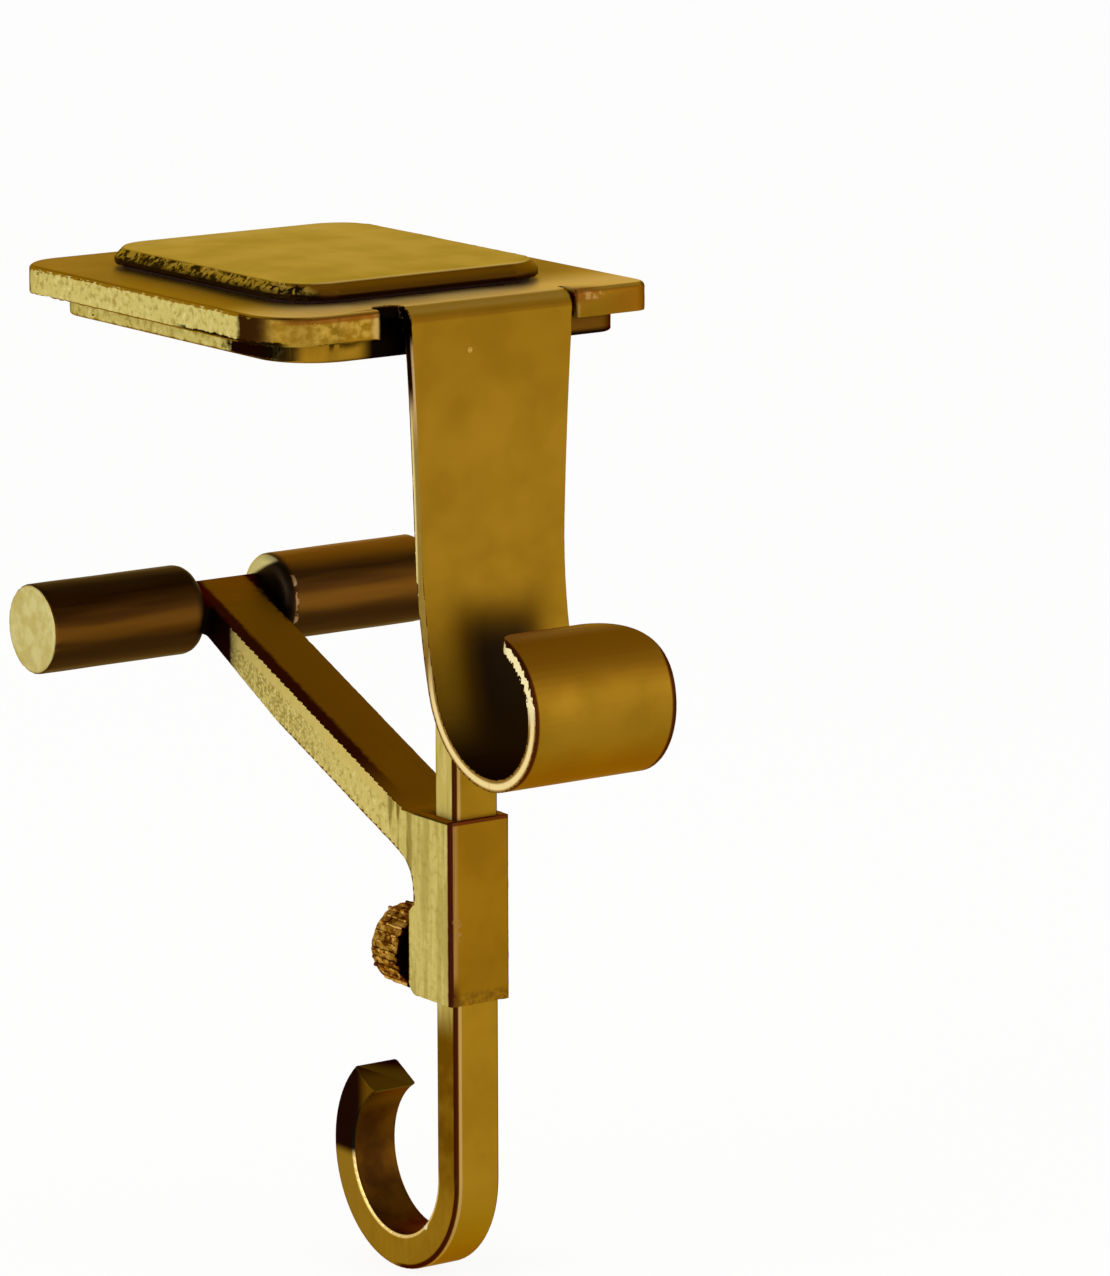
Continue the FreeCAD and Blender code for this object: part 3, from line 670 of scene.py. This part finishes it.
# Upright streaks about 1.6 mm wide on the collar's sides, strongest where the arm joins.
upright = add(tree, "ShaderNodeVectorMath", {0: at["place"], 1: (1.0, 1.0, 0.1)}, operation="MULTIPLY")
streaks = add(tree, "ShaderNodeTexNoise", {"Vector": upright.outputs[0], "Scale": 1 / (1.6 * MM),
                                           "Detail": 2.0}).outputs["Fac"]
colour = lay(tree, colour, linear("#96853A"), (streaks, 0.42, 0.62, 0.45), (at["y"], -16 * MM, -19 * MM),
             on_sides)
colour = lay(tree, colour, linear("#746022"), (streaks, 0.48, 0.58, 0.8), (at["y"], -23 * MM, -20 * MM),
             (at["y"], -14 * MM, -17 * MM), (at["z"], -84 * MM, -78 * MM), on_sides)

# The sloping top of the arm is painted dark brown as shade under the plate, lighter near the collar,
# # with a darker red-brown band along its left side.
colour = lay(tree, colour, linear("#8A6010"), (at["nz"], 0.5, 0.75), (at["y"], -20.8 * MM, -16 * MM))
ragged_x = add(tree, "ShaderNodeMath", {0: at["grain"], 1: 1.2 * MM, 2: at["x"]},
               operation="MULTIPLY_ADD")
colour = lay(tree, colour, linear("#3A200E"), (ragged_x.outputs[0], 2.1 * MM, 1.1 * MM),
             (at["nz"], 0.5, 0.75), (at["y"], -19 * MM, -6 * MM))

# Red-brown painted shade down the collar's rounded front corner, wider at the foot, with a painted
# # highlight beside it; dark lines along its upper edges.
colour = lay(tree, colour, RED_CORNER_SHADE, (at["y"], -30.7 * MM, -31.1 * MM), near_side)
colour = lay(tree, colour, RED_CORNER_SHADE, (at["x"], 0.9 * MM, -0.7 * MM),
             (at["z"], -91 * MM, -95 * MM), (at["y"], -31 * MM, -31.5 * MM))
colour = lay(tree, colour, linear("#B08850"), (at["x"], 0.3 * MM, -0.5 * MM, 0.5), (at["ny"], -0.9, -0.98),
             (at["z"], -93 * MM, -90 * MM))
colour = lay(tree, colour, linear("#5A220C"), (at["z"], -69.0 * MM, -68.8 * MM, 0.9),
             (at["y"], -31 * MM, -31.5 * MM))
colour = lay(tree, colour, linear("#2A1608"), (at["z"], -68.95 * MM, -68.75 * MM, 0.9),
             (at["y"], -21 * MM, -23 * MM), near_side)

# Painted shade: the corners between the arm and the sleeves, where light doesn't reach, are black.
to_side = add(tree, "ShaderNodeMath",
              {0: at["grain"], 1: 2.4 * MM, 2: away_from(tree, at["x"], CASTING_MIDDLE)},
              operation="MULTIPLY_ADD")
colour = lay(tree, colour, POOLED_SHADE, (to_side.outputs[0], 5.6 * MM, 6.6 * MM),
             (at["y"], 23 * MM, 27 * MM))
colour = lay(tree, colour, POOLED_SHADE, (at["y"], 25.2 * MM, 26 * MM), (at["nz"], 0.9, 0.6))

# Mottled wear along the collar's foot, and two short scratches on its front.
colour = lay(tree, colour, linear("#6A4812"), (at["grain"], 0.42, 0.58, 0.7),
             (at["z"], -93.2 * MM, -94.6 * MM), (at["ny"], -0.75, -0.95))
for scratch in SCRATCHES:
    colour = lay(tree, colour, linear("#9C7434"), (reach_from(tree, at, scratch), 1.0 * MM, 0.5 * MM),
                 (at["grain"], 0.44, 0.52))
plate_over(cast_gold, at, colour, GOLD_SHEEN, 0.5, 0.62)


def mould_skin(normal, middle):
    """Outer sides of the casting, and the collar's foot."""
    foot_face = normal.z < -0.9 and middle.z < -95 * MM
    return (abs(normal.x) > 0.8 and abs(middle.x - CASTING_MIDDLE) > 4.5 * MM) or foot_face


casting = rough_copy(
    "clamp_casting", "die_cast_clamp", mould_skin, lambda spot: 0.08 * MM,
    lambda spot: crumbled(0.3 * MM if spot.z < -94 * MM else 0.1 * MM)(spot))
casting.data.materials.append(cast_gold)
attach(casting, "clamp")
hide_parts("clamp_casting")

# Sleeves: rubber tubes, closed at their outer ends and pushed on the casting's stubs. A brown-gold
# # coat shows fine lengthwise draw marks; the closed ends are rubbed pale, and painted shade makes the
# # inner ends black.
SLEEVE_AXIS = (35.0 * MM, -47.6 * MM)
SLEEVE_START = 7.0 * MM
SLEEVE_MIDDLE = 4.0 * MM
SLEEVE_RADIUS = 6.75 * MM
SLEEVE_LENGTH = 26.8 * MM
STUB_RADIUS = 2.2 * MM
STUB_DEPTH = 22.0 * MM
INNER_ROUND = 1.8 * MM
OUTER_ROUND = 0.35 * MM
SLEEVE_SIDES = 96
INNER_STEPS = 8
BODY_STEPS = 30
OUTER_STEPS = 3
SURFACE_DEPTH = 0.05 * MM

rubber = new_material("brown_gold_coated_rubber")
tree = rubber.node_tree
at = surface_values(tree)
drawn = add(tree, "ShaderNodeVectorMath", {0: at["place"], 1: (0.06, 1.0, 1.0)}, operation="MULTIPLY")
marks = add(tree, "ShaderNodeTexNoise", {"Vector": drawn.outputs[0], "Scale": 1 / (1.6 * MM),
                                         "Detail": 2.0}).outputs["Fac"]
mottle = add(tree, "ShaderNodeTexNoise", {"Vector": at["place"], "Scale": 1 / (2.6 * MM),
                                          "Detail": 3.0}).outputs["Fac"]
colour = lay(tree, linear("#412608"), linear("#5A370C"), (marks, 0.38, 0.66))

# A painted highlight runs along each sleeve as a gold belt. Above and below it painted shade makes
# # the coat darker, nearly black on the left sleeve's top, while the right sleeve's top is lighter.
colour = lay(tree, colour, linear("#7E5216"), (at["nz"], -0.5, -0.15, 0.55), (at["nz"], 0.3, 0.0))
colour = lay(tree, colour, linear("#2A1606"), (at["nz"], 0.25, 0.6, 0.6))
colour = lay(tree, colour, linear("#140A03"), (at["nz"], 0.6, 0.95, 0.6), (at["x"], 0.0, -5 * MM))
colour = lay(tree, colour, linear("#9B6212"), (at["nz"], 0.6, 0.95, 0.75), (at["x"], 0.0, 10 * MM))
colour = lay(tree, colour, linear("#2A1606"), (at["nz"], -0.05, -0.4, 0.8))

# Distance from the stubs' axis and along it tells the inner end, the outer end and its brown rim.
along = away_from(tree, at["x"], SLEEVE_MIDDLE)
radius = round_axis(tree, at, (0.0, *SLEEVE_AXIS), ACROSS_X)[0]
# Painted shade: the inner ends, by the casting's neck, are near black.
colour = lay(tree, colour, linear("#1C130B"), (along, SLEEVE_START + 2.4 * MM, SLEEVE_START + 0.7 * MM))
pale = lay(tree, linear("#BCAE6A"), linear("#CCC285"), (mottle, 0.38, 0.62))
pale = lay(tree, pale, linear("#7A6024"), (radius, 6.2 * MM, 6.6 * MM, 0.7))
colour = lay(tree, colour, pale, (at["sideways"], 0.75, 0.9),
             (along, SLEEVE_LENGTH + 5 * MM, SLEEVE_LENGTH + 6 * MM))

# On the far sleeve's inner end the painted shade leaves only a crescent at the upper back rubbed pale.
from_axis = add(tree, "ShaderNodeVectorMath", {0: at["place"], 1: (0.0, *SLEEVE_AXIS)},
                operation="SUBTRACT")
raised = add(tree, "ShaderNodeVectorMath", {0: from_axis.outputs[0], 1: (0.0, 0.45, 0.9)},
             operation="DOT_PRODUCT").outputs["Value"]
colour = lay(tree, colour, linear("#C2B678"), (raised, 3.9 * MM, 4.6 * MM), (at["nx"], -0.35, -0.6),
             (at["x"], 10 * MM, 10.8 * MM), (along, SLEEVE_START + 2.4 * MM, SLEEVE_START + 1.8 * MM))
colour = lay(tree, colour, linear("#9A7650"), (along, SLEEVE_START + 1.3 * MM, SLEEVE_START + 1.6 * MM),
             (along, SLEEVE_START + 2.2 * MM, SLEEVE_START + 1.9 * MM), (mottle, 0.5, 0.56),
             (at["x"], 10 * MM, 10.8 * MM), (raised, 3.0 * MM, 1.0 * MM))
dull = add(tree, "ShaderNodeMapRange", {"Value": marks, "From Min": 0.3, "From Max": 0.7,
                                        "To Min": 0.36, "To Max": 0.5})
bump = add(tree, "ShaderNodeBump", {"Height": marks, "Strength": 0.3, "Distance": 0.04 * MM})
skin = add(tree, "ShaderNodeBsdfPrincipled", {"Base Color": colour, "Roughness": dull.outputs[0],
                                              "Metallic": 0.95, "Specular Tint": linear("#E6CC98"),
                                              "Normal": bump.outputs[0]})
add(tree, "ShaderNodeOutputMaterial", {"Surface": skin.outputs[0]})


def sleeve(piece_name, node_name, side):
    """Turns the sleeve's profile round its axis, with draw marks and a slightly chipped outer rim."""
    profile = [(STUB_DEPTH, 0.0), (STUB_DEPTH, STUB_RADIUS), (0.0, STUB_RADIUS)]
    for step in reversed(range(INNER_STEPS + 1)):
        angle = math.radians(90.0 * step / INNER_STEPS)
        profile.append((INNER_ROUND * (1 - math.sin(angle)),
                        SLEEVE_RADIUS - INNER_ROUND * (1 - math.cos(angle))))
    body_end = SLEEVE_LENGTH - OUTER_ROUND
    for step in range(1, BODY_STEPS + 1):
        profile.append((INNER_ROUND + (body_end - INNER_ROUND) * step / BODY_STEPS, SLEEVE_RADIUS))
    for step in range(1, OUTER_STEPS + 1):
        angle = math.radians(90.0 * step / OUTER_STEPS)
        profile.append((body_end + OUTER_ROUND * math.sin(angle),
                        SLEEVE_RADIUS - OUTER_ROUND * (1 - math.cos(angle))))
    for share in (0.8, 0.55, 0.3):
        profile.append((SLEEVE_LENGTH, SLEEVE_RADIUS * share))
    profile.append((SLEEVE_LENGTH, 0.0))
    form = bmesh.new()
    rings = []
    for along, radius in profile:
        ring = []
        for number in range(SLEEVE_SIDES if radius > 0 else 1):
            angle = 2 * math.pi * number / SLEEVE_SIDES
            out = Vector((0.0, math.cos(angle), math.sin(angle)))
            drawn = SURFACE_DEPTH * noise.noise(Vector((along / (9 * MM), out.y * 5, out.z * 5 + 7 * side)))
            near_rim = abs(along - body_end) < 0.6 * MM and radius > SLEEVE_RADIUS * 0.9
            bite = 0.22 * MM * max(0.0, noise.noise(out * 9 + Vector((side, 0, 0)))) if near_rim else 0.0
            inwards = (SURFACE_DEPTH - drawn + bite) if radius > STUB_RADIUS * 1.2 else 0.0
            spot = out * max(0.0, radius - inwards)
            spot.x = side * (SLEEVE_START + along) + SLEEVE_MIDDLE
            spot.y += SLEEVE_AXIS[0]
            spot.z += SLEEVE_AXIS[1]
            ring.append(form.verts.new(spot))
        rings.append(ring)
    for first, second in zip(rings, rings[1:]):
        for number in range(SLEEVE_SIDES):
            after = (number + 1) % SLEEVE_SIDES
            if len(first) == 1:
                form.faces.new((first[0], second[number], second[after]))
            elif len(second) == 1:
                form.faces.new((first[number], second[0], first[after]))
            else:
                form.faces.new((first[number], second[number], second[after], first[after]))
    bmesh.ops.recalc_face_normals(form, faces=form.faces)
    piece = keep(form, piece_name)
    piece.data.materials.append(rubber)
    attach(piece, "clamp")
    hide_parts(node_name)


sleeve("rubber_sleeve_left", "left_sleeve", -1)
sleeve("rubber_sleeve_right", "right_sleeve", 1)

# Thumb screw: a turned steel stud with a coarse fluted knob behind the collar. Handling has worn the
# flutes into uneven lumps, bright gold on their crests and brown between them.
KNOB_RADIUS = 5.95 * MM
KNOB_THICKNESS = 7.0 * MM
KNOB_FRONT = -19.5 * MM
SCREW_AXIS = (4.0 * MM, -90.3 * MM)
STUD_RADIUS = 2.0 * MM
STUD_START = -25.75 * MM
FLUTE_RADIUS = 0.34 * MM
FLUTE_COUNT = 28
FLUTE_SIDES = 16
KNOB_SIDES = 132
KNOB_CUTS = 14
KNOB_WEAR = 0.7 * MM
STUD_SIDES = 40
LUMP_SIZE = 1.5 * MM

worn_gold, at, colour = start_gold(
    "worn_gold_plated_steel", "#8E6220", "#7A5216", "#8E6828", "#5E3C10", "#CDA658", "#8A5E20")
tree = worn_gold.node_tree
radius = round_axis(tree, at, (SCREW_AXIS[0], 0.0, SCREW_AXIS[1]), (1.0, 0.0, 1.0))[0]
colour = lay(tree, colour, linear("#3E240A"), (radius, 5.7 * MM, 5.3 * MM), (at["y"], -19.2 * MM, -18.6 * MM))
colour = lay(tree, colour, linear("#4A260C"), (at["grain"], 0.48, 0.4, 0.85))
colour = lay(tree, colour, linear("#D0A458"), (radius, 5.7 * MM, 6.1 * MM), (at["grain"], 0.46, 0.6))
# Painted shade: the knob's face towards the collar is black, in the gap between them.
colour = lay(tree, colour, linear("#120A03"), (at["y"], -18.6 * MM, -19.0 * MM))
plate_over(worn_gold, at, colour, GOLD_SHEEN, 0.42, 0.42)

# Knob tree: a disc and a ridge at each point of a circle round it, roughened, and the stud.
knob_tree = bpy.data.node_groups.new("fluted_knob", "GeometryNodeTree")
sockets = {}
for name, kind in (("Radius", "Float"), ("Thickness", "Float"), ("Ridge Radius", "Float"),
                   ("Ridges", "Int"), ("Stud Radius", "Float"), ("Stud Length", "Float"),
                   ("Wear", "Float"), ("Finish", "Material")):
    sockets[name] = knob_tree.interface.new_socket(
        name=name, in_out="INPUT", socket_type="NodeSocket" + kind).identifier
knob_tree.interface.new_socket(name="Knob", in_out="OUTPUT", socket_type="NodeSocketGeometry")
given = add(knob_tree, "NodeGroupInput").outputs
disc = add(knob_tree, "GeometryNodeMeshCylinder",
           {"Vertices": KNOB_SIDES, "Side Segments": KNOB_CUTS, "Fill Segments": 6,
            "Radius": given["Radius"], "Depth": given["Thickness"]}, fill_type="TRIANGLE_FAN")
circle = add(knob_tree, "GeometryNodeCurvePrimitiveCircle",
             {"Resolution": given["Ridges"], "Radius": given["Radius"]}, mode="RADIUS")
short = add(knob_tree, "ShaderNodeMath", {0: given["Thickness"], 1: 0.9}, operation="MULTIPLY")
ridge = add(knob_tree, "GeometryNodeMeshCylinder",
            {"Vertices": FLUTE_SIDES, "Side Segments": KNOB_CUTS, "Fill Segments": 2,
             "Radius": given["Ridge Radius"], "Depth": short.outputs[0]}, fill_type="TRIANGLE_FAN")
uneven = add(knob_tree, "FunctionNodeRandomValue", {2: 0.6, 3: 1.15, "Seed": 7}, data_type="FLOAT")
ridges = add(knob_tree, "GeometryNodeInstanceOnPoints",
             {"Points": circle.outputs[0], "Instance": ridge.outputs["Mesh"],
              "Scale": uneven.outputs[1]})
solid_ridges = add(knob_tree, "GeometryNodeRealizeInstances", {"Geometry": ridges.outputs[0]})
stud = add(knob_tree, "GeometryNodeMeshCylinder",
           {"Vertices": STUD_SIDES, "Side Segments": 10, "Radius": given["Stud Radius"],
            "Depth": given["Stud Length"]}, fill_type="TRIANGLE_FAN")
half_stud = add(knob_tree, "ShaderNodeMath", {0: given["Stud Length"], 1: 0.5}, operation="MULTIPLY")
stud_place = add(knob_tree, "ShaderNodeCombineXYZ", {"Z": half_stud.outputs[0]})
moved_stud = add(knob_tree, "GeometryNodeTransform",
                 {"Geometry": stud.outputs["Mesh"], "Translation": stud_place.outputs[0]})
join = add(knob_tree, "GeometryNodeJoinGeometry")
for part in (disc.outputs["Mesh"], solid_ridges.outputs[0]):
    knob_tree.links.new(part, join.inputs[0])
spot = add(knob_tree, "GeometryNodeInputPosition")
lumps = add(knob_tree, "ShaderNodeTexNoise", {"Vector": spot.outputs[0], "Scale": 1 / LUMP_SIZE,
                                              "Detail": 1.0, "Roughness": 0.5})
shift = add(knob_tree, "ShaderNodeMath", {0: lumps.outputs["Fac"], 1: 0.6}, operation="SUBTRACT")
size = add(knob_tree, "ShaderNodeMath", {0: shift.outputs[0], 1: given["Wear"]}, operation="MULTIPLY")
outward = add(knob_tree, "GeometryNodeInputNormal")
push = add(knob_tree, "ShaderNodeVectorMath", {0: outward.outputs[0], "Scale": size.outputs[0]},
           operation="SCALE")
worn = add(knob_tree, "GeometryNodeSetPosition",
           {"Geometry": join.outputs[0], "Offset": push.outputs[0]})
whole = add(knob_tree, "GeometryNodeJoinGeometry")
for part in (worn.outputs[0], moved_stud.outputs[0]):
    knob_tree.links.new(part, whole.inputs[0])
finished = add(knob_tree, "GeometryNodeSetMaterial",
               {"Geometry": whole.outputs[0], "Material": given["Finish"]})
result = add(knob_tree, "NodeGroupOutput")
knob_tree.links.new(finished.outputs[0], result.inputs[0])

carrier = bpy.data.objects.new("knob_carrier", bpy.data.meshes.new("knob_carrier"))
bpy.context.scene.collection.objects.link(carrier)
maker = carrier.modifiers.new("fluted_knob", "NODES")
maker.node_group = knob_tree
for name, value in (("Radius", KNOB_RADIUS), ("Thickness", KNOB_THICKNESS),
                    ("Ridge Radius", FLUTE_RADIUS), ("Ridges", FLUTE_COUNT),
                    ("Stud Radius", STUD_RADIUS),
                    ("Stud Length", KNOB_FRONT + KNOB_THICKNESS / 2 - STUD_START),
                    ("Wear", KNOB_WEAR), ("Finish", worn_gold)):
    maker[sockets[name]] = value
bpy.context.view_layer.update()
shape = bpy.data.meshes.new_from_object(carrier.evaluated_get(bpy.context.evaluated_depsgraph_get()))
bpy.data.objects.remove(carrier)
form = bmesh.new()
form.from_mesh(shape)
for vert in form.verts:
    across, up, along = vert.co
    vert.co = (SCREW_AXIS[0] + across, KNOB_FRONT + KNOB_THICKNESS / 2 - along, SCREW_AXIS[1] + up)
knob = keep(form, "fluted_thumb_screw")
knob.data.materials.append(worn_gold)
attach(knob, "screw")
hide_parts("thumb_screw")
